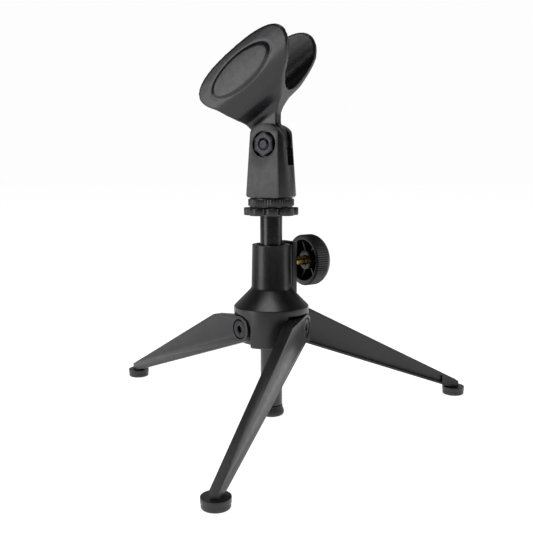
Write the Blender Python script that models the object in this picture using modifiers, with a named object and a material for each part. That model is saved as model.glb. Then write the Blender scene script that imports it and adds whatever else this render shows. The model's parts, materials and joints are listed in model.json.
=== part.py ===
"""Desktop microphone stand: a sliding tube in a three-legged folding base, with a tilting clip on top.

Metres, +Z up. The origin is on the tube's axis, on the surface that the stand rests on.
The three legs lie in upright planes beside the tube, each turned 120 degrees from the last.
"""
import math

import bmesh
import bpy
from mathutils import Matrix

# ---- Fits --------------------------------------------------------------------------------------
GAP = 0.0003            # between pieces that touch
CLEAR = 0.0010          # how far a cutter runs past what it cuts
RUNNING = 0.0004        # round a leg end that turns in its pocket

# ---- Tube and what it carries --------------------------------------------------------------------
TUBE_RADIUS = 0.0050
TUBE_WALL = 0.0010
CAP_RADIUS = 0.0058     # flared foot of the end cap
CAP_HEIGHT = 0.0049
CAP_FLARE = ((0.3, 0.7), (1.0, 0.42))    # shares of the flare's width and of the cap's height
SPIGOT_LENGTH = 0.0080  # of the cap and of the stud, inside the tube
STAR_BOTTOM = 0.0925    # height of the lobed disc above the surface
STAR_THICKNESS = 0.0034
STAR_RADIUS = 0.0122
STAR_LOBES = 8
STAR_TURN = -88.0       # degrees from +X to the middle of a lobe
LOBE_DEPTH = 0.0026
LOBE_SQUARENESS = 3     # 1 makes round lobes, more makes them wide with narrow notches
LOBE_POINTS = 12        # in the outline of each lobe
RING_GAP = 0.0008        # between the ring and the disc below it
RING_RADIUS = 0.0103
RING_THICKNESS = 0.0029
RING_NECK_RADIUS = 0.0096       # of the plain faces above and below the ribs
RING_RIBS = 52
RIB_DEPTH = 0.00035
STUD_RADIUS = 0.0047
THREAD_PITCH = 0.0016
THREAD_DEPTH = 0.0007
FOOT_ROUNDING = 0.0012  # of the end cap's bottom edge

# ---- Hub -------------------------------------------------------------------------------------------
HUB_BOTTOM = 0.0346
HUB_EDGE = 0.0006       # rounding of the hub's edges
RIM_RADIUS = 0.0170
RIM_HEIGHT = 0.0518
COLLAR_BASE = 0.0590
COLLAR_TOP = 0.0794
COLLAR_RADIUS = 0.0086
COLLAR_TAPER = 0.0004   # how much wider the collar is at its base
COLLAR_EDGE = 0.00024   # rounding of the collar's top edges
COLLAR_BORE = 0.00685
BUSHING_DEPTH = 0.0025  # of the sleeve's top below the collar's top
BUSHING_SEAT = 0.0580
BUSHING_SPLIT = 0.0012

# ---- Clamp -------------------------------------------------------------------------------------------
CLAMP_TURN = 35.0       # degrees from +X to the clamp's axis
CLAMP_HEIGHT = 0.0707
EAR_HALF_WIDTH = 0.0050
EAR_OUTER = 0.0110      # distance of the ear's outer face from the tube's axis
EAR_THICKNESS = 0.0022
EAR_RISE = 0.0008       # of the ear's top above the collar's top
SLIT = 0.0006
SLIT_BOTTOM = 0.0598
CLAMP_SCREW_RADIUS = 0.0021
BUSH_WALL = 0.0010
BUSH_INSET = 0.0001     # of the bush's inner end behind the ear's face
SCREW_CHAMFER = 0.0005
KNOB_RADIUS = 0.0119
KNOB_FACE = 0.0180      # distance of the knob's open face from the tube's axis
KNOB_THICKNESS = 0.0092
KNOB_STRAIGHT = 0.0032  # length of the knob's rim before its domed back begins
KNOB_BACK_RADIUS = 0.0072
KNOB_WALL = 0.0019
KNOB_END = 0.0020
KNOB_BOSS_RADIUS = 0.0044
KNOB_BOSS_DEPTH = 0.0012        # of the boss's end behind the knob's open face
KNOB_WEBS = 6
KNOB_WEB_THICKNESS = 0.0010
KNOB_RIBS = 72
SCREW_HEAD_RADIUS = 0.0036
SCREW_HEAD_LENGTH = 0.0034

# ---- Legs --------------------------------------------------------------------------------------------
LEG_NAMES = ("front", "left", "right")
LEG_TURN = 19.75        # degrees from -Y to the first leg's direction
PIVOT_OUT = 0.0015      # along the leg's direction from the tube's axis
PIVOT_HEIGHT = 0.0424
LEG_INNER = 0.0124      # distance of the leg's inner face from the tube's axis
LEG_THICKNESS = 0.0050
LEG_TIP_THICKNESS = 0.0037
LEG_INNER_TAPER = 0.4   # share of the thinning that is on the inner face
LEG_EYE_RADIUS = 0.0060
LEG_SHOULDER = (0.0197, 0.0039)   # top corner, out from the pivot and above it
LEG_END_HEIGHT = 0.0034 # of the leg's end above its underside
LEG_END_REACH = 0.4     # how far the leg passes the foot's middle, in foot radii
LEG_HEEL = 0.0007       # from the foot's middle back to where the leg's underside turns level
LEG_EDGE = 0.0011       # width of the rim round the leg's pocket
LEG_WEB = 0.0016        # skin left behind the pocket
LEG_ROUNDING = 0.0010
FOOT_REACH = 0.09586    # along the leg's direction from the tube's axis
FOOT_OFFSET = 0.0144    # sideways from the tube's axis
FOOT_RADIUS = 0.0054
FOOT_TOP = 0.0039
FOOT_BITE = 0.0006      # how far the leg's underside dips into the foot's disc
PAD_HEIGHT = 0.0017
PAD_INSET = 0.0002
PAD_ROUNDING = 0.0005
SCREW_EDGE = 0.0003
SCREW_RADIUS = 0.0025
CAP_HEAD_RADIUS = 0.00425
CAP_HEAD_HEIGHT = 0.0024
HEX_SOCKET = 0.0030     # across flats
SOCKET_DEPTH = 0.0017
COUNTERBORE_RADIUS = 0.0046
WASHER_THICKNESS = 0.0005
LEG_FLOOR = 0.0014      # of the leg under the washer
INSERT_RADIUS = 0.0036
INSERT_LENGTH = 0.0052

# ---- Swivel and clip ---------------------------------------------------------------------------------
SWIVEL_TURN = -30.0     # degrees from +X to the way the clip tilts
SWIVEL_GAP = 0.0008      # between the swivel and the ring below it
SWIVEL_RADIUS = 0.0112
SWIVEL_NECK_RADIUS = 0.0096      # at the bolt's height
SWIVEL_STEP = 0.0007
CHEEK_BOTTOM = 0.0076   # half-width across the flats, at the bottom and at the bolt
CHEEK_TOP = 0.0064
BOLT_HEIGHT = 0.1237
EAR_RADIUS = 0.0090
EAR_LEAN = 10.0         # degrees below level where the arched top ends
SLOT_HALF = 0.0025
SLOT_BOTTOM = 0.1146
BOLT_RADIUS = 0.0024
BOLT_EDGE = 0.0004
BOLT_HEAD_HEIGHT = 0.0017
BOLT_CROWN = (0.6, 0.9) # shares of the head's radius where its crown starts to fall and where it turns down
BOLT_TIP = 0.7          # share of the bolt's radius left at its end
NUT_FLATS = 0.0090
NUT_RECESS_RADIUS = 0.0058
NUT_RECESS_DEPTH = 0.0021
NUT_THICKNESS = 0.0021
THREAD_INSERT_WALL = 0.0012
THREAD_INSERT_LENGTH = 0.0090
CLIP_TILT = 34.0        # degrees of the cradle above level
TONGUE_RADIUS = 0.0086
CRADLE_CENTRE = 0.0262  # above the bolt, along the clip's own upright
CRADLE_RADIUS = 0.0140
CRADLE_WALL = 0.0022
CRADLE_START = -52.0    # degrees from level to where the keel joins the cradle
KEEL_FLARE = 0.0100     # height above the bolt where the keel starts to widen
KEEL_SHOULDER = (0.30, 0.55)    # shares of the way from there to the trough, across and up
WING_STEPS = 5

# The clip's outline from its side: along the cradle from the bolt, and above the bolt
WING_BACK = -0.0127
WING_FRONT = 0.0373
WING_WAIST = 0.0305     # height where the outline is longest
WING_TOP = 0.0402
WING_TILT = 0.02        # slope of the wings' top, down towards their front
WING_SQUARENESS = 2.5   # 2 makes the top of the outline an ellipse, more makes it squarer
WING_LEAN = 0.0014      # how far each wing's top leans in
WING_FRONT_LOW = (0.0345, 0.0234)
KEEL_FRONT = (0.0243, 0.0163)
NECK_FRONT = (0.0088, 0.0060)
NECK_BACK = (-0.0040, 0.0105)
WING_BACK_LOW = (-0.0071, 0.0210)

SEGMENTS = 32
FINE_SEGMENTS = 48


# ---- Scene and collections ---------------------------------------------------------------------------
for old in list(bpy.data.objects):
    bpy.data.objects.remove(old, do_unlink=True)


def new_collection(name):
    collection = bpy.data.collections.new(name)
    bpy.context.scene.collection.children.link(collection)
    return collection


STAND = new_collection("desktop_mic_stand")
CUTTERS = new_collection("cutters")


def material(name, colour, roughness, metallic=0.0):
    made = bpy.data.materials.new(name)
    made.use_nodes = True
    shader = made.node_tree.nodes["Principled BSDF"]
    shader.inputs["Base Color"].default_value = (*colour, 1.0)
    shader.inputs["Roughness"].default_value = roughness
    shader.inputs["Metallic"].default_value = metallic
    return made


SATIN_BLACK = material("satin_black_plastic", (0.030, 0.030, 0.034), 0.42)
CLIP_BLACK = material("clip_black_plastic", (0.040, 0.040, 0.044), 0.48)
TUBE_BLACK = material("black_painted_steel", (0.035, 0.035, 0.038), 0.30, 0.6)
RUBBER = material("black_rubber", (0.020, 0.020, 0.021), 0.85)
BRASS = material("brass", (0.78, 0.57, 0.22), 0.28, 1.0)
DARK_STEEL = material("blackened_steel", (0.10, 0.10, 0.11), 0.35, 0.9)
ZINC_STEEL = material("zinc_plated_steel", (0.55, 0.55, 0.56), 0.35, 1.0)
NYLON = material("nylon", (0.12, 0.12, 0.12), 0.55)


# ---- Frames and building blocks ------------------------------------------------------------------------
def frame(name, location, rotation=(0.0, 0.0, 0.0), parent=None):
    """An empty that carries the pieces which are drawn in its axes."""
    empty = bpy.data.objects.new(name, None)
    empty.location = location
    empty.rotation_euler = rotation
    empty.parent = parent
    STAND.objects.link(empty)
    return empty


def add_object(name, mesh, parent, surface=None):
    """Link a mesh as a part, or as a hidden cutter when it has no surface."""
    obj = bpy.data.objects.new(name, mesh)
    obj.parent = parent
    if surface:
        mesh.materials.append(surface)
        STAND.objects.link(obj)
    else:
        CUTTERS.objects.link(obj)
        obj.hide_render = True
        obj.display_type = "WIRE"
    return obj


def shade(mesh, angle=35.0):
    mesh.shade_smooth()
    mesh.set_sharp_from_angle(angle=math.radians(angle))


Z_TO_X = Matrix.Rotation(math.pi / 2, 4, "Y")
Z_TO_Y = Matrix.Rotation(-math.pi / 2, 4, "X")
TO_SIDE = Matrix.Rotation(math.pi / 2, 4, "X")      # an outline's XY plane stood up as XZ


def turned(name, profile, parent, surface=None, closed=False, steps=SEGMENTS, axis=None):
    """Turn a (radius, height) profile about Z, or about the axis that a matrix takes Z to."""
    mesh = bpy.data.meshes.new(name)
    count = len(profile)
    edges = [(i, i + 1) for i in range(count - 1)]
    if closed:
        edges.append((count - 1, 0))
    mesh.from_pydata([(radius, 0.0, height) for radius, height in profile], edges, [])
    obj = add_object(name, mesh, parent, surface)
    if axis:
        obj.matrix_basis = axis
    screw = obj.modifiers.new("turn", "SCREW")
    screw.steps = steps
    screw.render_steps = steps
    screw.use_merge_vertices = True
    screw.merge_threshold = 0.00001
    screw.use_smooth_shade = True
    return obj


def cylinder(name, radius, low, high, parent, surface=None, axis=None, steps=SEGMENTS, at=(0.0, 0.0)):
    """A cylinder from low to high along Z, centred at a point in X and Y, then turned to its axis."""
    mesh = bpy.data.meshes.new(name)
    bm = bmesh.new()
    place = Matrix.Translation((at[0], at[1], (low + high) / 2))
    bmesh.ops.create_cone(bm, cap_ends=True, segments=steps, radius1=radius, radius2=radius,
                          depth=high - low, matrix=place)
    if axis:
        bm.transform(axis)
    bm.to_mesh(mesh)
    bm.free()
    shade(mesh)
    return add_object(name, mesh, parent, surface)


def box(name, low, high, parent, surface=None):
    mesh = bpy.data.meshes.new(name)
    bm = bmesh.new()
    bmesh.ops.create_cube(bm, size=1.0)
    size = [b - a for a, b in zip(low, high)]
    middle = [(a + b) / 2 for a, b in zip(low, high)]
    bm.transform(Matrix.Translation(middle) @ Matrix.Diagonal((*size, 1.0)))
    bm.to_mesh(mesh)
    bm.free()
    return add_object(name, mesh, parent, surface)


def prism(name, outlines, low, high, parent, surface=None, axis=None, smooth=False):
    """Extrude flat outlines from low to high along their normal; the later outlines are holes.

    A smooth outline is a closed Bezier curve through its points, any other a polygon."""
    curve = bpy.data.curves.new(name, "CURVE")
    curve.dimensions = "2D"
    curve.fill_mode = "BOTH"
    curve.extrude = (high - low) / 2
    curve.resolution_u = 6
    for outline in outlines:
        spline = curve.splines.new("BEZIER" if smooth else "POLY")
        points = spline.bezier_points if smooth else spline.points
        points.add(len(outline) - 1)
        for point, (x, y) in zip(points, outline):
            if smooth:
                point.co = (x, y, 0.0)
                point.handle_left_type = "AUTO"
                point.handle_right_type = "AUTO"
            else:
                point.co = (x, y, 0.0, 1.0)
        spline.use_cyclic_u = True
    drawn = bpy.data.objects.new(name + "_outline", curve)
    CUTTERS.objects.link(drawn)
    graph = bpy.context.evaluated_depsgraph_get()
    mesh = bpy.data.meshes.new_from_object(drawn.evaluated_get(graph))
    bpy.data.objects.remove(drawn, do_unlink=True)
    bm = bmesh.new()
    bm.from_mesh(mesh)
    bmesh.ops.remove_doubles(bm, verts=bm.verts, dist=0.000001)
    bm.transform(Matrix.Translation((0.0, 0.0, (low + high) / 2)))
    if axis:
        bm.transform(axis)
    bmesh.ops.recalc_face_normals(bm, faces=bm.faces)
    bm.to_mesh(mesh)
    bm.free()
    mesh.materials.clear()
    shade(mesh)
    return add_object(name, mesh, parent, surface)


def boolean(obj, other, operation="DIFFERENCE"):
    step = obj.modifiers.new(operation.lower() + "_" + other.name, "BOOLEAN")
    step.operation = operation
    step.solver = "EXACT"
    step.object = other
    return obj


def arc(centre, radius, start, end, steps):
    """Points on an arc, from a start angle to an end angle in degrees."""
    points = []
    for i in range(steps + 1):
        angle = math.radians(start + (end - start) * i / steps)
        points.append((centre[0] + radius * math.cos(angle), centre[1] + radius * math.sin(angle)))
    return points


def circle(radius, steps=SEGMENTS):
    return arc((0.0, 0.0), radius, 0.0, 360.0 * (steps - 1) / steps, steps - 1)


def ribbed(radius, ribs, depth):
    """A circle with a row of pointed ribs, as on a straight knurl."""
    points = []
    for i in range(2 * ribs):
        reach = radius - (depth if i % 2 else 0.0)
        angle = math.pi * i / ribs
        points.append((reach * math.cos(angle), reach * math.sin(angle)))
    return points


# ---- Tube, end cap, star disc, stud and lock ring --------------------------------------------------------
TUBE_TOP = STAR_BOTTOM + STAR_THICKNESS
TUBE_BORE = TUBE_RADIUS - TUBE_WALL
SPIGOT_RADIUS = TUBE_BORE - GAP
RING_BOTTOM = TUBE_TOP + RING_GAP
RING_TOP = RING_BOTTOM + RING_THICKNESS
SWIVEL_BOTTOM = RING_TOP + SWIVEL_GAP
INSERT_BOTTOM = SWIVEL_BOTTOM + GAP
STUD_TOP = INSERT_BOTTOM + THREAD_INSERT_LENGTH + GAP


def build_column():
    tube_low = CAP_HEIGHT + GAP
    turned("tube", [(TUBE_RADIUS, TUBE_TOP), (TUBE_RADIUS, tube_low), (TUBE_BORE, tube_low),
                    (TUBE_BORE, TUBE_TOP)], None, TUBE_BLACK, closed=True)
    foot = arc((CAP_RADIUS - FOOT_ROUNDING, FOOT_ROUNDING), FOOT_ROUNDING, 0.0, -80.0, 3)
    cap = [(0.0, CAP_HEIGHT + SPIGOT_LENGTH), (SPIGOT_RADIUS, CAP_HEIGHT + SPIGOT_LENGTH),
           (SPIGOT_RADIUS, CAP_HEIGHT), (TUBE_RADIUS, CAP_HEIGHT)]
    for across, up in CAP_FLARE:
        cap.append((TUBE_RADIUS + across * (CAP_RADIUS - TUBE_RADIUS), CAP_HEIGHT * up))
    turned("tube_end_cap", cap + foot + [(foot[-1][0], 0.0), (0.0, 0.0)], None, RUBBER)

    lobes = []
    for i in range(LOBE_POINTS * STAR_LOBES):
        angle = 2 * math.pi * i / (LOBE_POINTS * STAR_LOBES)
        notch = ((1.0 - math.cos(STAR_LOBES * angle)) / 2) ** LOBE_SQUARENESS
        reach = STAR_RADIUS - LOBE_DEPTH * notch
        angle += math.radians(STAR_TURN)
        lobes.append((reach * math.cos(angle), reach * math.sin(angle)))
    prism("star_disc", [lobes, circle(TUBE_RADIUS + GAP)], STAR_BOTTOM, TUBE_TOP, None, SATIN_BLACK)

    root = STUD_RADIUS - THREAD_DEPTH
    profile = [(0.0, STUD_TOP), (root, STUD_TOP)]
    turns = int((STUD_TOP - RING_TOP) / THREAD_PITCH)
    for turn in range(turns):
        crest = STUD_TOP - (turn + 0.5) * THREAD_PITCH
        profile += [(STUD_RADIUS, crest), (root, crest - THREAD_PITCH / 2)]
    seat = TUBE_TOP + GAP
    profile += [(STUD_RADIUS, profile[-1][1] - THREAD_PITCH / 2), (STUD_RADIUS, seat),
                (SPIGOT_RADIUS, seat), (SPIGOT_RADIUS, seat - SPIGOT_LENGTH),
                (0.0, seat - SPIGOT_LENGTH)]
    turned("thread_stud", profile, None, ZINC_STEEL, steps=24)

    ring = prism("lock_ring", [ribbed(RING_RADIUS, RING_RIBS, RIB_DEPTH), circle(STUD_RADIUS + GAP)],
                 RING_BOTTOM, RING_TOP, None, SATIN_BLACK)
    inner = STUD_RADIUS + 2 * GAP
    neck_low, neck_high = TUBE_TOP + GAP, SWIVEL_BOTTOM - GAP
    neck = turned("cut_ring_neck", [(RING_NECK_RADIUS, neck_high), (RING_NECK_RADIUS, neck_low),
                                    (inner, neck_low), (inner, neck_high)], None, closed=True)
    boolean(ring, neck, "UNION")


# ---- Hub and clamp ---------------------------------------------------------------------------------------
def leg_frames():
    """One empty for each leg: X along the leg, Y away from the tube, origin on the pivot's axis."""
    frames = []
    for number, name in enumerate(LEG_NAMES):
        turn = math.radians(-90.0 - LEG_TURN - 120.0 * number)
        out = PIVOT_OUT
        place = (out * math.cos(turn), out * math.sin(turn), PIVOT_HEIGHT)
        frames.append(frame("leg_frame_" + name, place, (0.0, 0.0, turn)))
    return frames


def clamp_frame():
    return frame("clamp_frame", (0.0, 0.0, CLAMP_HEIGHT), (0.0, 0.0, math.radians(CLAMP_TURN)))


EAR_INNER = EAR_OUTER - EAR_THICKNESS
BUSHING_RADIUS = COLLAR_BORE - GAP
BUSH_RADIUS = CLAMP_SCREW_RADIUS + GAP + BUSH_WALL
LEG_SEAT = LEG_INNER + LEG_FLOOR + GAP
POCKET_FLOOR = LEG_INNER - GAP
POCKET_TOP = LEG_EYE_RADIUS + RUNNING


def build_hub(clamp, legs):
    collar_low = COLLAR_RADIUS + COLLAR_TAPER
    edge = HUB_EDGE
    bore = TUBE_RADIUS + GAP
    rim = arc((RIM_RADIUS - edge, RIM_HEIGHT - edge), edge, 60.0, 0.0, 3)
    profile = [(COLLAR_RADIUS - COLLAR_EDGE, COLLAR_TOP), (COLLAR_RADIUS, COLLAR_TOP - COLLAR_EDGE),
               (collar_low, COLLAR_BASE + 2 * edge), (collar_low + edge, COLLAR_BASE)]
    profile += rim
    profile += [(RIM_RADIUS, HUB_BOTTOM + edge), (RIM_RADIUS - edge, HUB_BOTTOM), (bore, HUB_BOTTOM),
                (bore, BUSHING_SEAT), (COLLAR_BORE, BUSHING_SEAT), (COLLAR_BORE, COLLAR_TOP - COLLAR_EDGE),
                (COLLAR_BORE + COLLAR_EDGE, COLLAR_TOP)]
    hub = turned("hub", profile, None, SATIN_BLACK, closed=True, steps=FINE_SEGMENTS)

    seam = EAR_INNER - SLIT / 2
    low = HUB_BOTTOM + RIM_RADIUS - CLAMP_HEIGHT
    lug = box("cut_lug", (COLLAR_BORE + GAP, -EAR_HALF_WIDTH, low),
              (seam, EAR_HALF_WIDTH, COLLAR_TOP - GAP - CLAMP_HEIGHT), clamp)
    boolean(hub, lug, "UNION")
    ear = box("cut_ear", (seam - GAP, -EAR_HALF_WIDTH + GAP, low - GAP),
              (EAR_OUTER, EAR_HALF_WIDTH - GAP, COLLAR_TOP + EAR_RISE - CLAMP_HEIGHT), clamp)
    boolean(hub, ear, "UNION")
    slit = box("cut_slit", (EAR_INNER - SLIT, -2 * EAR_HALF_WIDTH, SLIT_BOTTOM - CLAMP_HEIGHT),
               (EAR_INNER, 2 * EAR_HALF_WIDTH, COLLAR_TOP + 2 * EAR_RISE - CLAMP_HEIGHT), clamp)
    boolean(hub, slit)
    passage = cylinder("cut_clamp_hole", CLAMP_SCREW_RADIUS + GAP, 0.8 * COLLAR_BORE, seam, clamp,
                       axis=Z_TO_X, steps=20)
    boolean(hub, passage)
    socket = cylinder("cut_bush_hole", BUSH_RADIUS + GAP, seam, EAR_OUTER + SLIT, clamp, axis=Z_TO_X,
                      steps=20)
    boolean(hub, socket)

    for name, leg in zip(LEG_NAMES, legs):
        reach = 2 * RIM_RADIUS
        pocket = [(reach, POCKET_TOP)] + arc((0.0, 0.0), POCKET_TOP, 90.0, 180.0, 8)
        pocket += [(-POCKET_TOP, -reach), (reach, -reach)]
        boolean(hub, prism("cut_pocket_" + name, [pocket], -reach, -POCKET_FLOOR, leg, axis=TO_SIDE))
        low = POCKET_FLOOR - GAP - INSERT_LENGTH
        hole = cylinder("cut_insert_" + name, INSERT_RADIUS + GAP, low, 2 * POCKET_FLOOR, leg,
                        axis=Z_TO_Y, steps=20)
        boolean(hub, hole)
    return hub


def build_clamp(clamp):
    top = COLLAR_TOP - BUSHING_DEPTH
    inner = TUBE_RADIUS + GAP
    bushing = turned("clamp_bushing", [(BUSHING_RADIUS, top), (BUSHING_RADIUS, BUSHING_SEAT + GAP),
                                       (inner, BUSHING_SEAT + GAP), (inner, top)], None, NYLON, closed=True)
    split = box("cut_split", (-2 * inner, -BUSHING_SPLIT / 2, BUSHING_SEAT - CLAMP_HEIGHT),
                (-0.5 * inner, BUSHING_SPLIT / 2, COLLAR_TOP - CLAMP_HEIGHT), clamp)
    boolean(bushing, split)

    hole = CLAMP_SCREW_RADIUS + GAP
    turned("clamp_bush", [(BUSH_RADIUS, EAR_OUTER), (BUSH_RADIUS, EAR_INNER + BUSH_INSET),
                          (hole, EAR_INNER + BUSH_INSET), (hole, EAR_OUTER)], clamp, BRASS, closed=True,
           steps=20, axis=Z_TO_X)

    boss_low = KNOB_FACE + KNOB_BOSS_DEPTH
    end = KNOB_FACE + KNOB_THICKNESS
    head_high = end - KNOB_END - 2 * GAP
    head_low = head_high - SCREW_HEAD_LENGTH
    tip = BUSHING_RADIUS + GAP
    turned("clamp_screw", [(0.0, head_high), (SCREW_HEAD_RADIUS, head_high), (SCREW_HEAD_RADIUS, head_low),
                           (CLAMP_SCREW_RADIUS, head_low), (CLAMP_SCREW_RADIUS, tip + SCREW_CHAMFER),
                           (CLAMP_SCREW_RADIUS - SCREW_CHAMFER, tip), (0.0, tip)], clamp, BRASS, steps=20,
           axis=Z_TO_X)

    knob = prism("clamp_knob", [ribbed(KNOB_RADIUS, KNOB_RIBS, RIB_DEPTH)], KNOB_FACE, end, clamp,
                 SATIN_BLACK, axis=Z_TO_X)
    quarter = arc((0.0, 0.0), 1.0, 90.0, 0.0, 8)
    dome = [(KNOB_BACK_RADIUS + (KNOB_RADIUS + GAP - KNOB_BACK_RADIUS) * across,
             KNOB_FACE + KNOB_STRAIGHT + (KNOB_THICKNESS - KNOB_STRAIGHT) * along)
            for across, along in quarter]
    boolean(knob, turned("cut_knob_dome", [(0.0, end)] + dome + [(dome[-1][0], KNOB_FACE - 2 * GAP),
                                                               (0.0, KNOB_FACE - 2 * GAP)],
                         clamp, steps=FINE_SEGMENTS, axis=Z_TO_X), "INTERSECT")
    cavity_radius = KNOB_RADIUS - RIB_DEPTH - KNOB_WALL
    cavity = cylinder("cut_knob_cavity", cavity_radius, KNOB_FACE - GAP, end - KNOB_END, clamp, axis=Z_TO_X)
    boolean(knob, cavity)
    inside = cylinder("cut_knob_boss", KNOB_BOSS_RADIUS, boss_low, end - KNOB_END / 2, clamp,
                      axis=Z_TO_X, steps=24)
    for number in range(KNOB_WEBS // 2):
        web = box("cut_knob_web_%d" % number, (head_low, -cavity_radius - GAP, -KNOB_WEB_THICKNESS / 2),
                  (end - KNOB_END + GAP, cavity_radius + GAP, KNOB_WEB_THICKNESS / 2), clamp)
        web.rotation_euler = (2 * math.pi * number / KNOB_WEBS, 0.0, 0.0)
        boolean(inside, web, "UNION")
    boolean(knob, inside, "UNION")
    bore = turned("cut_knob_bore", [(0.0, head_high + GAP), (SCREW_HEAD_RADIUS + GAP, head_high + GAP),
                                    (SCREW_HEAD_RADIUS + GAP, head_low - GAP), (hole, head_low - GAP),
                                    (hole, boss_low - GAP), (0.0, boss_low - GAP)], clamp, steps=20,
                  axis=Z_TO_X)
    boolean(knob, bore)


# ---- Legs ----------------------------------------------------------------------------------------------
def leg_outline(inset=0.0):
    """The leg seen from its side, round its eye and down to the foot, or the pocket inside that edge."""
    foot_out = FOOT_REACH - PIVOT_OUT
    floor = FOOT_TOP - FOOT_BITE - PIVOT_HEIGHT
    shoulder_x, shoulder_z = LEG_SHOULDER
    tip = foot_out + LEG_END_REACH * FOOT_RADIUS
    heel = foot_out - LEG_HEEL
    top_slope = math.atan2(shoulder_z - floor - LEG_END_HEIGHT, tip - shoulder_x)
    bottom_slope = math.atan2(-floor, heel) - math.asin(LEG_EYE_RADIUS / math.hypot(heel, floor))
    top = math.tan(top_slope)
    bottom = math.tan(bottom_slope)
    bottom_at_pivot = -LEG_EYE_RADIUS / math.cos(bottom_slope)
    if inset:
        start = shoulder_x
        inset_top = inset / math.cos(top_slope)
        inset_bottom = inset / math.cos(bottom_slope)
        high = shoulder_z - inset_top
        low = bottom_at_pivot - bottom * start + inset_bottom
        reach = min((high - low) / (top - bottom), foot_out - FOOT_RADIUS - inset - start)
        return [(start, low), (start + reach, low - bottom * reach), (start + reach, high - top * reach),
                (start, high)]
    drop = math.degrees(math.atan2(LEG_EYE_RADIUS - shoulder_z, shoulder_x))
    eye = arc((0.0, 0.0), LEG_EYE_RADIUS, 90.0 - drop, 270.0 - math.degrees(bottom_slope), 12)
    return eye + [(heel, floor), (tip, floor), (tip, floor + LEG_END_HEIGHT), (shoulder_x, shoulder_z)]


def build_leg(name, leg):
    outer = LEG_INNER + LEG_THICKNESS
    part = prism("leg_" + name, [leg_outline()], -outer, -LEG_INNER, leg, SATIN_BLACK, axis=TO_SIDE)
    bm = bmesh.new()
    bm.from_mesh(part.data)
    foot_out = FOOT_REACH - PIVOT_OUT
    inner_taper = LEG_INNER_TAPER * (LEG_THICKNESS - LEG_TIP_THICKNESS)
    outer_taper = LEG_THICKNESS - LEG_TIP_THICKNESS - inner_taper
    for vert in bm.verts:
        share = vert.co.x / foot_out
        if vert.co.y > LEG_INNER + 0.5 * LEG_THICKNESS:
            vert.co.y -= outer_taper * share
        else:
            vert.co.y += inner_taper * share
    flat_end = LEG_SHOULDER[0] - LEG_EYE_RADIUS
    weights = bm.edges.layers.float.new("bevel_weight_edge")
    for edge in bm.edges:
        ends = [vert.co for vert in edge.verts]
        long = abs(ends[0].x - ends[1].x) > flat_end
        if long and all(co.y > LEG_INNER + 0.5 * LEG_THICKNESS for co in ends):
            edge[weights] = 1.0
    bm.to_mesh(part.data)
    bm.free()
    bevel = part.modifiers.new("rounded_edges", "BEVEL")
    bevel.limit_method = "WEIGHT"
    bevel.width = LEG_ROUNDING
    bevel.segments = 3

    pocket = prism("cut_leg_pocket_" + name, [leg_outline(LEG_EDGE)], -(outer - LEG_WEB - outer_taper),
                   -0.5 * LEG_INNER, leg, axis=TO_SIDE)
    boolean(part, pocket)
    spot = (foot_out, FOOT_OFFSET)
    disc = cylinder("cut_foot_disc_" + name, FOOT_RADIUS, PAD_HEIGHT + GAP - PIVOT_HEIGHT,
                    FOOT_TOP - PIVOT_HEIGHT, leg, at=spot, steps=28)
    boolean(part, disc, "UNION")
    hole = cylinder("cut_leg_hole_" + name, SCREW_RADIUS + GAP, 0.5 * LEG_INNER, 2 * outer, leg,
                    axis=Z_TO_Y, steps=24)
    boolean(part, hole)
    well = cylinder("cut_leg_well_" + name, COUNTERBORE_RADIUS, LEG_SEAT - GAP, 2 * outer, leg,
                    axis=Z_TO_Y, steps=24)
    boolean(part, well)

    inset = FOOT_RADIUS - PAD_INSET
    rounding = PAD_ROUNDING
    pad = turned("foot_pad_" + name, [(0.0, PAD_HEIGHT), (inset, PAD_HEIGHT), (inset, rounding),
                                      (inset - 0.3 * rounding, 0.3 * rounding), (inset - rounding, 0.0),
                                      (0.0, 0.0)], leg, RUBBER, steps=28)
    pad.location = (spot[0], spot[1], -PIVOT_HEIGHT)


def build_pivot(name, leg):
    """Washer, socket-head screw and hub insert on one leg's axis."""
    washer_low = LEG_SEAT
    washer_high = washer_low + WASHER_THICKNESS
    hole = SCREW_RADIUS + GAP
    turned("leg_washer_" + name, [(CAP_HEAD_RADIUS, washer_high), (CAP_HEAD_RADIUS, washer_low),
                                  (hole, washer_low), (hole, washer_high)], leg, DARK_STEEL, closed=True,
           steps=24, axis=Z_TO_Y)

    insert_high = POCKET_FLOOR - GAP
    insert_low = insert_high - INSERT_LENGTH + GAP
    turned("leg_insert_" + name, [(INSERT_RADIUS, insert_high), (INSERT_RADIUS, insert_low),
                                  (hole, insert_low), (hole, insert_high)], leg, BRASS, closed=True,
           steps=20, axis=Z_TO_Y)

    head_low = washer_high + GAP
    head_high = head_low + CAP_HEAD_HEIGHT
    edge = SCREW_EDGE
    screw = turned("leg_screw_" + name,
                   [(0.0, head_high), (CAP_HEAD_RADIUS - edge, head_high),
                    (CAP_HEAD_RADIUS, head_high - edge), (CAP_HEAD_RADIUS, head_low),
                    (SCREW_RADIUS, head_low), (SCREW_RADIUS, insert_low + edge),
                    (SCREW_RADIUS - edge, insert_low), (0.0, insert_low)],
                   leg, DARK_STEEL, steps=24, axis=Z_TO_Y)
    socket = cylinder("cut_socket_" + name, HEX_SOCKET / math.sqrt(3.0), head_high - SOCKET_DEPTH,
                      head_high + GAP, leg, axis=Z_TO_Y, steps=6)
    boolean(screw, socket)


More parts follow.
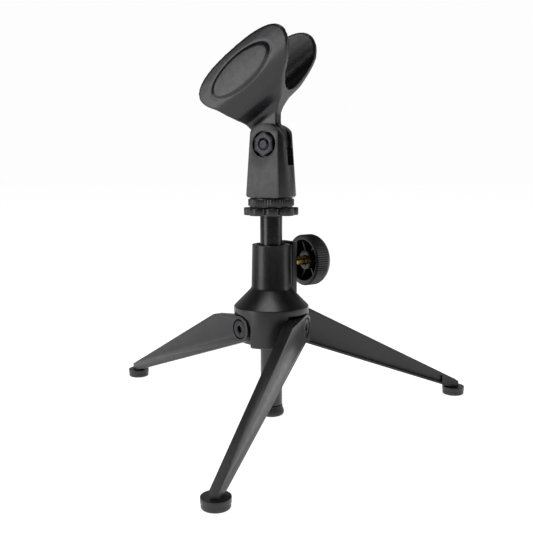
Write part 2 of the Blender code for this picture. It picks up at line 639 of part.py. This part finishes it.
# ---- Swivel and clip -------------------------------------------------------------------------------------
def build_swivel(swivel):
    """A tapered round body with two flats, an arched top and a slot for the clip's tongue."""
    top = BOLT_HEIGHT + EAR_RADIUS
    reach = 2 * SWIVEL_RADIUS
    narrowing = (SWIVEL_RADIUS - SWIVEL_NECK_RADIUS) / (BOLT_HEIGHT - SWIVEL_BOTTOM)
    high_radius = SWIVEL_NECK_RADIUS - narrowing * EAR_RADIUS
    body = turned("swivel_base", [(0.0, top + GAP), (high_radius, top + GAP),
                                  (SWIVEL_RADIUS, SWIVEL_BOTTOM + SWIVEL_STEP),
                                  (SWIVEL_RADIUS - SWIVEL_STEP, SWIVEL_BOTTOM), (0.0, SWIVEL_BOTTOM)],
                  swivel, SATIN_BLACK, steps=FINE_SEGMENTS)

    slant = (CHEEK_BOTTOM - CHEEK_TOP) / (BOLT_HEIGHT - SWIVEL_BOTTOM)
    low = SWIVEL_BOTTOM - CLEAR
    high = top + CLEAR
    low_half = CHEEK_BOTTOM + slant * CLEAR
    high_half = CHEEK_TOP - slant * (high - BOLT_HEIGHT)
    flats = prism("cut_flats", [[(-low_half, low), (low_half, low), (high_half, high), (-high_half, high)]],
                  -reach, reach, swivel, axis=Z_TO_X @ Matrix.Rotation(math.pi / 2, 4, "Z"))
    boolean(body, flats, "INTERSECT")
    arch = [(reach, low)] + arc((0.0, BOLT_HEIGHT), EAR_RADIUS, -EAR_LEAN, 180.0 + EAR_LEAN, 18)
    arch.append((-reach, low))
    boolean(body, prism("cut_arch", [arch], -reach, reach, swivel, axis=TO_SIDE), "INTERSECT")
    slot = box("cut_slot", (-reach, -SLOT_HALF, SLOT_BOTTOM), (reach, SLOT_HALF, top + CLEAR), swivel)
    boolean(body, slot)

    bolt_line = Matrix.Translation((0.0, 0.0, BOLT_HEIGHT)) @ Z_TO_Y
    hole = cylinder("cut_bolt_hole", BOLT_RADIUS + GAP, -reach, reach, swivel, axis=bolt_line, steps=20)
    boolean(body, hole)
    seat = CHEEK_TOP - NUT_RECESS_DEPTH
    for side, name in ((-1, "cut_nut_recess"), (1, "cut_head_recess")):
        ends = sorted((side * seat, side * reach))
        boolean(body, cylinder(name, NUT_RECESS_RADIUS, ends[0], ends[1], swivel, axis=bolt_line, steps=24))
    insert_radius = STUD_RADIUS + GAP + THREAD_INSERT_WALL
    chamber = cylinder("cut_insert_chamber", insert_radius + GAP, low, STUD_TOP + 2 * GAP, swivel, steps=24)
    boolean(body, chamber)

    insert_top = INSERT_BOTTOM + THREAD_INSERT_LENGTH
    turned("thread_insert", [(insert_radius, insert_top), (insert_radius, INSERT_BOTTOM),
                             (STUD_RADIUS + GAP, INSERT_BOTTOM), (STUD_RADIUS + GAP, insert_top)],
           swivel, BRASS, closed=True, steps=24)

    head_low = seat + GAP
    head_high = head_low + BOLT_HEAD_HEIGHT
    head_radius = NUT_RECESS_RADIUS - 4 * GAP
    bolt_end = -(seat + GAP + NUT_THICKNESS + BOLT_EDGE)
    flat, shoulder = BOLT_CROWN
    turned("swivel_bolt", [(0.0, head_high), (flat * head_radius, head_high),
                           (shoulder * head_radius, head_high - BOLT_EDGE),
                           (head_radius, head_low + BOLT_EDGE), (head_radius, head_low),
                           (BOLT_RADIUS, head_low),
                           (BOLT_RADIUS, bolt_end + BOLT_EDGE), (BOLT_TIP * BOLT_RADIUS, bolt_end),
                           (0.0, bolt_end)], swivel, DARK_STEEL, steps=24, axis=bolt_line)
    nut_low = -(seat + GAP + NUT_THICKNESS)
    nut = cylinder("swivel_nut", NUT_FLATS / math.sqrt(3.0), nut_low, -(seat + GAP), swivel, DARK_STEEL,
                   axis=bolt_line, steps=6)
    boolean(nut, cylinder("cut_nut_thread", BOLT_RADIUS + GAP, -reach, 0.0, swivel, axis=bolt_line, steps=20))


def cradle_section():
    """Across the clip: a thin tongue and keel that widen into a round trough with two upright wings."""
    half = SLOT_HALF - GAP
    centre = (0.0, CRADLE_CENTRE)
    trough = arc(centre, CRADLE_RADIUS, CRADLE_START, 0.0, 10)
    out, up = KEEL_SHOULDER
    shoulder = (half + out * (trough[0][0] - half), KEEL_FLARE + up * (trough[0][1] - KEEL_FLARE))
    rise = WING_TOP + CRADLE_WALL - CRADLE_CENTRE
    shares = [step / WING_STEPS for step in range(1, WING_STEPS + 1)]
    lean = [(share * rise, WING_LEAN * share * share) for share in shares]
    outside = [(CRADLE_RADIUS - inward, CRADLE_CENTRE + up) for up, inward in lean]
    inner = CRADLE_RADIUS - CRADLE_WALL
    inside = [(inner - inward, CRADLE_CENTRE + up) for up, inward in reversed(lean)]
    right = [(half, -2 * TONGUE_RADIUS), (half, KEEL_FLARE), shoulder] + trough + outside + inside
    left = [(-x, y) for x, y in reversed(right)]
    return right + arc(centre, inner, 0.0, -180.0, 24) + left


def clip_outline():
    """The clip from its side: round wings above, narrowing along a keel to the neck and its round tongue."""
    length = (WING_FRONT - WING_BACK) / 2
    middle = (WING_FRONT + WING_BACK) / 2
    power = 2.0 / WING_SQUARENESS
    wings = []
    for step in range(13):
        angle = math.pi * step / 12
        across = math.copysign(abs(math.cos(angle)) ** power, math.cos(angle))
        rise = (WING_TOP - WING_WAIST) * math.sin(angle) ** power
        wings.append((middle - length * across, WING_WAIST + rise + WING_TILT * length * across))
    keel = [WING_FRONT_LOW, KEEL_FRONT, NECK_FRONT]
    tongue = [(TONGUE_RADIUS, 0.0), (0.0, -TONGUE_RADIUS), (-TONGUE_RADIUS, 0.0)]
    return [NECK_BACK, WING_BACK_LOW] + wings + keel + tongue


def build_clip(clip):
    reach = 2 * WING_FRONT
    half = 2 * CRADLE_RADIUS
    part = prism("mic_clip", [cradle_section()], -reach, reach, clip, CLIP_BLACK,
                 axis=Z_TO_X @ Matrix.Rotation(math.pi / 2, 4, "Z"))
    side = prism("cut_clip_side", [clip_outline()], -half, half, clip, axis=TO_SIDE, smooth=True)
    boolean(part, side, "INTERSECT")
    boolean(part, cylinder("cut_tongue_hole", BOLT_RADIUS + GAP, -half, half, clip, axis=Z_TO_Y, steps=20))


build_column()
leg_axes = leg_frames()
clamp_axes = clamp_frame()
swivel_axes = frame("swivel_frame", (0.0, 0.0, 0.0), (0.0, 0.0, math.radians(SWIVEL_TURN)))
clip_axes = frame("clip_frame", (0.0, 0.0, BOLT_HEIGHT), (0.0, math.radians(-CLIP_TILT), 0.0), swivel_axes)
build_hub(clamp_axes, leg_axes)
build_clamp(clamp_axes)
for leg_name, leg_axis in zip(LEG_NAMES, leg_axes):
    build_leg(leg_name, leg_axis)
    build_pivot(leg_name, leg_axis)
build_swivel(swivel_axes)
build_clip(clip_axes)
bpy.context.view_layer.update()
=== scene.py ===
# %% [markdown]
# # A desktop microphone stand
# The stand has a tube clamped in a hub on three folding legs. On top, a swivel carries a tilting
# clip for a microphone. Every moving group is already a body in the frame, so this script dresses
# each one: it rounds the moulded edges, adds the small relief, and gives each surface its finish.

import json
import math

import bmesh
import bpy
from mathutils import Matrix, Vector


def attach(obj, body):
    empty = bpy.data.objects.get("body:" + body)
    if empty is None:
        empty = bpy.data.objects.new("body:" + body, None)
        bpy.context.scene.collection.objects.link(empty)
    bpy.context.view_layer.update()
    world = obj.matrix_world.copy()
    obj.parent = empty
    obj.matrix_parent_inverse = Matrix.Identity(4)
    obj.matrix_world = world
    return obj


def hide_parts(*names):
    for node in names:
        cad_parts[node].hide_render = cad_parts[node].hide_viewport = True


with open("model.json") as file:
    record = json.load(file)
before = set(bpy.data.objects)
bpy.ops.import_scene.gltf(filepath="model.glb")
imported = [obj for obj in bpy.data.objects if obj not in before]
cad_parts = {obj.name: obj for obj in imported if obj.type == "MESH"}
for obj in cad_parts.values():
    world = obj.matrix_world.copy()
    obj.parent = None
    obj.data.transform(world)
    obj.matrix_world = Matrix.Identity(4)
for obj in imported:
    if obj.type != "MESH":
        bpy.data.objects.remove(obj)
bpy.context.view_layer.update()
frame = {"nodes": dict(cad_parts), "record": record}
MM = 0.001

# %% [markdown]
# ## Camera
# A short telephoto lens at the height of a seated eye keeps the tube upright and shows the tops of
# the legs. The angles are small, so the camera is aimed with three plain turns.

# %% Camera
CAMERA_DISTANCE = 0.33289
CAMERA_HEIGHT = 0.11493
PITCH = 0.13674
YAW = -0.006451
ROLL = -0.002568
LENS = 50.15

lens = bpy.data.cameras.new("camera")
lens.sensor_width = 36.0
lens.lens = LENS
lens.clip_start = 0.01
camera = bpy.data.objects.new("camera", lens)
bpy.context.scene.collection.objects.link(camera)
ahead = Vector((math.sin(YAW) * math.cos(PITCH), math.cos(YAW) * math.cos(PITCH), -math.sin(PITCH)))
level = Vector((math.cos(YAW), -math.sin(YAW), 0.0))
upright = level.cross(ahead)
side = level * math.cos(ROLL) + upright * math.sin(ROLL)
top = upright * math.cos(ROLL) - level * math.sin(ROLL)
turn = Matrix((side, top, -ahead)).transposed()
camera.matrix_world = Matrix.Translation((0.0, -CAMERA_DISTANCE, CAMERA_HEIGHT)) @ turn.to_4x4()
bpy.context.scene.camera = camera
print("camera looks along", [round(value, 3) for value in ahead])

# %% [markdown]
# ## Colours and nodes
# Colours are written as sRGB hex, the way a colour chart gives them, and turned to the linear
# values that a shader works in. One small helper adds a node, sets it and links it, so each
# material below reads as a list of what happens to its surface.


# %% Helpers for materials
def linear(hex_colour):
    parts = [int(hex_colour[i:i + 2], 16) / 255.0 for i in (1, 3, 5)]
    return tuple(v / 12.92 if v <= 0.04045 else ((v + 0.055) / 1.055) ** 2.4 for v in parts) + (1.0,)


def add(tree, kind, settings=None, inputs=None, links=None):
    """Add a node, set its properties and inputs by name, and link its inputs from (node, output) pairs."""
    node = tree.nodes.new(kind)
    for name, value in (settings or {}).items():
        setattr(node, name, value)
    for name, value in (inputs or {}).items():
        node.inputs[name].default_value = value
    for name, (source, output) in (links or {}).items():
        tree.links.new(source.outputs[output], node.inputs[name])
    return node


def ramp(tree, source, output, stops):
    """A colour ramp whose stops are (position, colour) pairs."""
    node = add(tree, "ShaderNodeValToRGB", links={"Fac": (source, output)})
    elements = node.color_ramp.elements
    for element, (position, colour) in zip(elements, stops):
        element.position = position
        element.color = colour
    return node


def start(name):
    made = bpy.data.materials.new(name)
    made.use_nodes = True
    tree = made.node_tree
    tree.nodes["Principled BSDF"].name = "Surface"
    return made, tree, tree.nodes["Surface"]


def scale_for(size):
    """The texture scale whose features come out about this many metres apart."""
    return 1.0 / size


print("mid grey in linear values:", round(linear("#808080")[0], 3))

# %% [markdown]
# ## Moulded plastic
# The hub, legs, knob, star, ring and swivel are moulded in black ABS from a spark-eroded mould.
# That leaves a very fine even grain: the eye sees a satin sheen that is wide and soft, a slight
# cloudiness where the plastic cooled unevenly, and spots that were rubbed smoother. The real grain
# is about 0.05 mm. That is too fine to show, so it is drawn at 0.35 mm. The clip is nylon, which
# is a little darker and shinier, and the feet are rubber, which is lighter and duller.


# %% Plastics
CLOUD_SIZE = 9 * MM
RUB_SIZE = 3 * MM
GRAIN_STRENGTH = 0.35
PLASTIC_IOR = 1.54


def moulded_plastic(name, dark, light, rough_low, rough_high, grain, depth):
    """Base colour and roughness drift slowly, and a fine grain lifts the surface."""
    made, tree, surface = start(name)
    place = add(tree, "ShaderNodeTexCoord")
    clouds = add(tree, "ShaderNodeTexNoise", inputs={"Scale": scale_for(CLOUD_SIZE), "Detail": 4.0},
                 links={"Vector": (place, "Object")})
    tint = ramp(tree, clouds, "Fac", [(0.35, linear(dark)), (0.70, linear(light))])
    tree.links.new(tint.outputs["Color"], surface.inputs["Base Color"])
    rubs = add(tree, "ShaderNodeTexNoise",
               inputs={"Scale": scale_for(RUB_SIZE), "Detail": 6.0, "Roughness": 0.6},
               links={"Vector": (place, "Object")})
    gloss = add(tree, "ShaderNodeMapRange", inputs={"From Min": 0.3, "From Max": 0.7,
                                                    "To Min": rough_low, "To Max": rough_high},
                links={"Value": (rubs, "Fac")})
    tree.links.new(gloss.outputs["Result"], surface.inputs["Roughness"])
    pits = add(tree, "ShaderNodeTexNoise", inputs={"Scale": scale_for(grain), "Detail": 2.0},
               links={"Vector": (place, "Object")})
    bump = add(tree, "ShaderNodeBump", inputs={"Strength": GRAIN_STRENGTH, "Distance": depth},
               links={"Height": (pits, "Fac")})
    tree.links.new(bump.outputs["Normal"], surface.inputs["Normal"])
    surface.inputs["IOR"].default_value = PLASTIC_IOR
    return made


abs_satin = moulded_plastic("spark_eroded_abs", "#101012", "#18171B", 0.30, 0.40, 0.35 * MM, 0.02 * MM)
nylon_clip = moulded_plastic("matt_moulded_nylon", "#0D0C0F", "#141317", 0.25, 0.33, 0.45 * MM, 0.02 * MM)
acetal = moulded_plastic("natural_black_acetal", "#0C0C0D", "#121213", 0.30, 0.40, 0.6 * MM, 0.01 * MM)
rubber = moulded_plastic("moulded_rubber", "#1C1C20", "#2A2A2F", 0.46, 0.58, 0.5 * MM, 0.04 * MM)
print("plastics:", abs_satin.name, nylon_clip.name, acetal.name, rubber.name)

# %% [markdown]
# ## Painted tube
# The tube is drawn steel with a thin black powder coat, so it is smoother than the plastic. Its
# colour varies in faint lengthwise streaks, and the powder leaves a slight orange peel.

# %% Painted tube
STREAK_SIZE = 0.6 * MM
STREAK_SQUASH = 0.04
PEEL_SIZE = 1.2 * MM
PEEL_STRENGTH = 0.25
PEEL_DEPTH = 0.02 * MM
PAINT_IOR = 1.55


def powder_coat(name, dark, light):
    made, tree, surface = start(name)
    place = add(tree, "ShaderNodeTexCoord")
    stretch = add(tree, "ShaderNodeMapping", inputs={"Scale": (1.0, 1.0, STREAK_SQUASH)},
                  links={"Vector": (place, "Object")})
    lines = add(tree, "ShaderNodeTexNoise", inputs={"Scale": scale_for(STREAK_SIZE), "Detail": 3.0},
                links={"Vector": (stretch, "Vector")})
    tint = ramp(tree, lines, "Fac", [(0.30, linear(dark)), (0.75, linear(light))])
    tree.links.new(tint.outputs["Color"], surface.inputs["Base Color"])
    peel = add(tree, "ShaderNodeTexNoise", inputs={"Scale": scale_for(PEEL_SIZE), "Detail": 2.0},
               links={"Vector": (place, "Object")})
    gloss = add(tree, "ShaderNodeMapRange", inputs={"To Min": 0.22, "To Max": 0.36},
                links={"Value": (peel, "Fac")})
    tree.links.new(gloss.outputs["Result"], surface.inputs["Roughness"])
    bump = add(tree, "ShaderNodeBump", inputs={"Strength": PEEL_STRENGTH, "Distance": PEEL_DEPTH},
               links={"Height": (peel, "Fac")})
    tree.links.new(bump.outputs["Normal"], surface.inputs["Normal"])
    surface.inputs["IOR"].default_value = PAINT_IOR
    return made


tube_paint = powder_coat("black_powder_coat", "#0A0A0B", "#111113")
print("tube finish:", tube_paint.name)

# %% [markdown]
# ## Turned metals
# The brass and steel fittings are turned on a lathe and then handled. Their colour and gloss vary
# with stains about 1.5 mm across, and a fine unevenness stands in for the tool marks. Real marks
# are about 0.1 mm apart, and they are drawn at 0.3 mm so that they show.

# %% Turned metals
STAIN_SIZE = 1.5 * MM
MARK_SIZE = 0.3 * MM
MARK_STRENGTH = 0.3
MARK_DEPTH = 0.02 * MM


def turned_metal(name, dark, light, rough_low, rough_high):
    made, tree, surface = start(name)
    place = add(tree, "ShaderNodeTexCoord")
    stains = add(tree, "ShaderNodeTexNoise", inputs={"Scale": scale_for(STAIN_SIZE), "Detail": 5.0},
                 links={"Vector": (place, "Object")})
    tint = ramp(tree, stains, "Fac", [(0.30, linear(dark)), (0.72, linear(light))])
    tree.links.new(tint.outputs["Color"], surface.inputs["Base Color"])
    gloss = add(tree, "ShaderNodeMapRange", inputs={"To Min": rough_low, "To Max": rough_high},
                links={"Value": (stains, "Fac")})
    tree.links.new(gloss.outputs["Result"], surface.inputs["Roughness"])
    cuts = add(tree, "ShaderNodeTexNoise", inputs={"Scale": scale_for(MARK_SIZE), "Detail": 2.0},
               links={"Vector": (place, "Object")})
    bump = add(tree, "ShaderNodeBump", inputs={"Strength": MARK_STRENGTH, "Distance": MARK_DEPTH},
               links={"Height": (cuts, "Fac")})
    tree.links.new(bump.outputs["Normal"], surface.inputs["Normal"])
    surface.inputs["Metallic"].default_value = 1.0
    return made


brass = turned_metal("turned_brass", "#B08D4A", "#E2C878", 0.20, 0.34)
zinc = turned_metal("bright_zinc_plate", "#8E8F92", "#B9BABD", 0.28, 0.42)
black_oxide = turned_metal("black_oxide_steel", "#2C2B2E", "#454448", 0.28, 0.42)
print("metals:", brass.name, zinc.name, black_oxide.name)

# %% [markdown]
# ## Rounded edges
# A mould cannot leave a sharp corner, and a sharp computer edge never catches the light. Each
# piece therefore becomes a copy of its solid whose flat triangles are joined into clean faces and
# whose edges are then bevelled by a fraction of a millimetre. The alternative, remeshing
# everything, would blur the knurls and threads.


# %% Bevelled copies
FLAT = math.radians(0.6)
SHARP = math.radians(28.0)
MERGE = 0.001 * MM
EDGE_SEGMENTS = 3


def solid_copy(name, node):
    """A new object with a cleaned copy of a node's mesh: joined points and joined flat faces."""
    mesh = frame["nodes"][node].data.copy()
    mesh.name = name
    bm = bmesh.new()
    bm.from_mesh(mesh)
    bmesh.ops.remove_doubles(bm, verts=bm.verts, dist=MERGE)
    bmesh.ops.dissolve_limit(bm, angle_limit=FLAT, verts=bm.verts, edges=bm.edges)
    bm.to_mesh(mesh)
    bm.free()
    mesh.materials.clear()
    piece = bpy.data.objects.new(name, mesh)
    bpy.context.scene.collection.objects.link(piece)
    return piece


def apply_modifiers(piece):
    """Replace the piece's mesh by what its modifiers make of it."""
    graph = bpy.context.evaluated_depsgraph_get()
    made = bpy.data.meshes.new_from_object(piece.evaluated_get(graph))
    piece.modifiers.clear()
    piece.data = made
    return made


def bevelled(name, node, width):
    """A cleaned copy of a node whose sharp edges are rounded to this width."""
    piece = solid_copy(name, node)
    bevel = piece.modifiers.new("edge", "BEVEL")
    bevel.width = width
    bevel.segments = EDGE_SEGMENTS
    bevel.limit_method = "ANGLE"
    bevel.angle_limit = SHARP
    bevel.miter_outer = "MITER_ARC"
    bevel.use_clamp_overlap = True
    apply_modifiers(piece)
    piece.data.shade_smooth()
    piece.data.set_sharp_from_angle(angle=SHARP)
    return piece


def settle(piece, node, finish_material):
    """Give a piece its finish, let it ride on its node's body and stand for that node."""
    piece.data.materials.clear()
    piece.data.materials.append(finish_material)
    bodies = frame["record"]["behaviour"]["bodies"]
    body = next(name for name, nodes in bodies.items() if node in nodes)
    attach(piece, body)
    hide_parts(node)


LEGS = ("front", "left", "right")
FINISHES = [
    ("hub_shell", "hub", 0.30 * MM, abs_satin),
    ("swivel_shell", "swivel_base", 0.45 * MM, abs_satin),
    ("star_flange", "star_disc", 0.45 * MM, abs_satin),
    ("knurled_ring", "lock_ring", 0.10 * MM, abs_satin),
    ("knurled_knob", "clamp_knob", 0.12 * MM, abs_satin),
    ("tube_barrel", "tube", 0.15 * MM, tube_paint),
    ("tube_foot", "tube_end_cap", 0.20 * MM, rubber),
    ("stud", "thread_stud", 0.05 * MM, zinc),
    ("split_bushing", "clamp_bushing", 0.15 * MM, acetal),
    ("ear_bush", "clamp_bush", 0.10 * MM, brass),
    ("clamp_stud", "clamp_screw", 0.12 * MM, brass),
    ("swivel_insert", "thread_insert", 0.10 * MM, brass),
    ("pivot_bolt", "swivel_bolt", 0.12 * MM, black_oxide),
    ("pivot_nut", "swivel_nut", 0.25 * MM, black_oxide),
]
for leg in LEGS:
    FINISHES += [
        ("leg_arm_" + leg, "leg_" + leg, 0.30 * MM, abs_satin),
        ("foot_" + leg, "foot_pad_" + leg, 0.10 * MM, rubber),
        ("hinge_screw_" + leg, "leg_screw_" + leg, 0.15 * MM, black_oxide),
        ("hinge_washer_" + leg, "leg_washer_" + leg, 0.08 * MM, black_oxide),
        ("hinge_insert_" + leg, "leg_insert_" + leg, 0.10 * MM, brass),
    ]
for name, node, width, finish_material in FINISHES:
    piece = bevelled(name, node, width)
    settle(piece, node, finish_material)
    print(name, "has", len(piece.data.polygons), "faces")

# %% [markdown]
# ## Feet
# The rubber pads are bonded to the discs above them. The solids keep a clearance there, which would
# show as a black line, so the top of each pad is raised to close most of it.

# %% Closed feet
PAD_TOP = 1.5 * MM
BOND = 0.25 * MM
for leg in LEGS:
    pad = bpy.data.objects["foot_" + leg].data
    raised = [vertex for vertex in pad.vertices if vertex.co.z > PAD_TOP]
    for vertex in raised:
        vertex.co.z += BOND
    pad.update()
    print("foot_" + leg, "closed by", round(BOND / MM, 2), "mm at", len(raised), "points")

# %% [markdown]
# ## The clip
# The clip is one soft moulding: a keel that flows into a trough with two round wings, each with a
# raised oval pad for the fingers. Here edges have to melt into each other, so the copy is remeshed
# with small voxels and smoothed. The pads are then raised by moving the points of each wing's outer
# face, with a shallow groove round them.

# %% Clip axes
BOLT_HEIGHT = 123.7 * MM
TILT = math.radians(34.0)
SWING = math.radians(-30.0)
along = Vector((math.cos(SWING) * math.cos(TILT), math.sin(SWING) * math.cos(TILT), math.sin(TILT)))
across = Vector((-math.sin(SWING), math.cos(SWING), 0.0))
above = along.cross(across)
pivot = Vector((0.0, 0.0, BOLT_HEIGHT))
print("the clip leans", round(math.degrees(TILT)), "degrees; above =", [round(v, 2) for v in above])

# %% [markdown]
# ## Clip shell
# The oval pad is worked out in the clip's own axes: how far each point of a wing's outer face lies
# from the pad's edge. Inside the edge the surface is lifted, and just outside it a groove is sunk.

# %% Clip shell
VOXEL = 0.40 * MM
SOFTNESS = 0.5
SMOOTHING = 8
PAD_CENTRE = (11.1 * MM, 29.6 * MM)
PAD_HALF = (16.3 * MM, 6.5 * MM)
PAD_LIFT = 0.45 * MM
PAD_EDGE = 0.16 * MM
GROOVE = 0.15 * MM
GROOVE_OUT = 0.45 * MM
GROOVE_WIDTH = 0.35 * MM
WING_SIDE = 11.9 * MM

clip = solid_copy("clip_shell", "mic_clip")
remesh = clip.modifiers.new("voxels", "REMESH")
remesh.mode = "VOXEL"
remesh.voxel_size = VOXEL
smooth = clip.modifiers.new("soften", "SMOOTH")
smooth.factor = SOFTNESS
smooth.iterations = SMOOTHING
shell = apply_modifiers(clip)
shell.shade_smooth()
shell.update()
normals = [vertex.normal.copy() for vertex in shell.vertices]
for vertex, normal in zip(shell.vertices, normals):
    offset = vertex.co - pivot
    sideways = offset.dot(across)
    if abs(sideways) < WING_SIDE or normal.dot(across) * sideways < 0.0:
        continue
    reach = math.hypot((offset.dot(along) - PAD_CENTRE[0]) / PAD_HALF[0],
                       (offset.dot(above) - PAD_CENTRE[1]) / PAD_HALF[1])
    edge_distance = (reach - 1.0) * PAD_HALF[1]
    crown = PAD_LIFT / (1.0 + math.exp(edge_distance / PAD_EDGE))
    groove = GROOVE * math.exp(-((edge_distance - GROOVE_OUT) / GROOVE_WIDTH) ** 2)
    vertex.co += normal * (crown - groove)
shell.update()
settle(clip, "mic_clip", nylon_clip)
print("clip has", len(shell.polygons), "faces")

# %% [markdown]
# ## Floor
# The stand is shown on a wide sheet of white paper. The paper glows a little by itself, as a sheet
# does that is also lit from below, so that its far end meets the white surroundings without a line.

# %% Floor
FLOOR_HALF = 4.0
FLOOR_DROP = 0.1 * MM
FIBRE_SIZE = 2 * MM
GLOW = 0.94
sheet = bpy.data.meshes.new("floor")
sheet.from_pydata([(-FLOOR_HALF, -FLOOR_HALF, 0.0), (FLOOR_HALF, -FLOOR_HALF, 0.0),
                   (FLOOR_HALF, FLOOR_HALF, 0.0), (-FLOOR_HALF, FLOOR_HALF, 0.0)], [], [(0, 1, 2, 3)])
floor = bpy.data.objects.new("floor", sheet)
floor.location.z = -FLOOR_DROP
bpy.context.scene.collection.objects.link(floor)
paper, tree, surface = start("white_paper_sweep")
place = add(tree, "ShaderNodeTexCoord")
fibres = add(tree, "ShaderNodeTexNoise", inputs={"Scale": scale_for(FIBRE_SIZE), "Detail": 3.0},
             links={"Vector": (place, "Object")})
tint = ramp(tree, fibres, "Fac", [(0.3, linear("#BEBEBE")), (0.7, linear("#C4C4C4"))])
tree.links.new(tint.outputs["Color"], surface.inputs["Base Color"])
surface.inputs["Roughness"].default_value = 0.9
surface.inputs["Specular IOR Level"].default_value = 0.2
surface.inputs["Emission Color"].default_value = linear("#FFFFFF")
surface.inputs["Emission Strength"].default_value = GLOW
sheet.materials.append(paper)
print("floor is", 2 * FLOOR_HALF, "m wide")

# %% [markdown]
# ## Lights
# A panel on each side draws the long bright edges on the tube and the collar. The left one is the
# stronger and also lights the face of the clip. A panel overhead lights the cone and the legs.

# %% Lights
AIM_HEIGHT = 0.09


def panel(name, place, size, power):
    """A square soft light that faces the middle of the stand."""
    light = bpy.data.lights.new(name, "AREA")
    light.shape = "SQUARE"
    light.size = size
    light.energy = power
    lamp = bpy.data.objects.new(name, light)
    bpy.context.scene.collection.objects.link(lamp)
    lamp.location = place
    aim = Vector((0.0, 0.0, AIM_HEIGHT)) - Vector(place)
    lamp.rotation_mode = "QUATERNION"
    lamp.rotation_quaternion = aim.to_track_quat("-Z", "Y")


panel("panel_left", (-0.74, -0.38, 0.20), 0.40, 1.7)
panel("panel_right", (0.80, 0.08, 0.30), 0.36, 0.7)
panel("panel_top", (-0.10, -0.12, 1.00), 0.50, 3.6)
print("three panels face the point", AIM_HEIGHT, "m up the stand")

# %% [markdown]
# ## Surroundings
# The stand is surrounded by a room that is dark towards the viewer and grows brighter behind the
# stand, which keeps the middle of each cylinder dark and lightens faces seen at a low angle. The
# viewer sees white instead of that room.

# %% Surroundings
world = bpy.data.worlds.new("studio")
bpy.context.scene.world = world
world.use_nodes = True
tree = world.node_tree
tree.nodes.clear()
DIM = 0.015
BRIGHT = 0.45
place = add(tree, "ShaderNodeTexCoord")
parts = add(tree, "ShaderNodeSeparateXYZ", links={"Vector": (place, "Generated")})
fade = add(tree, "ShaderNodeMapRange", settings={"interpolation_type": "SMOOTHSTEP"},
           inputs={"From Min": 0.1, "From Max": 1.0, "To Min": DIM, "To Max": BRIGHT},
           links={"Value": (parts, "Y")})
lit = add(tree, "ShaderNodeBackground", links={"Strength": (fade, "Result")})
seen = add(tree, "ShaderNodeBackground", inputs={"Strength": 1.0})
seen.inputs["Color"].default_value = linear("#FDFDFD")
ray = add(tree, "ShaderNodeLightPath")
mix = add(tree, "ShaderNodeMixShader", links={"Fac": (ray, "Is Camera Ray")})
tree.links.new(lit.outputs["Background"], mix.inputs[1])
tree.links.new(seen.outputs["Background"], mix.inputs[2])
add(tree, "ShaderNodeOutputWorld", links={"Surface": (mix, "Shader")})
bpy.context.scene.view_settings.view_transform = "Standard"
print("surroundings from", DIM, "to", BRIGHT)
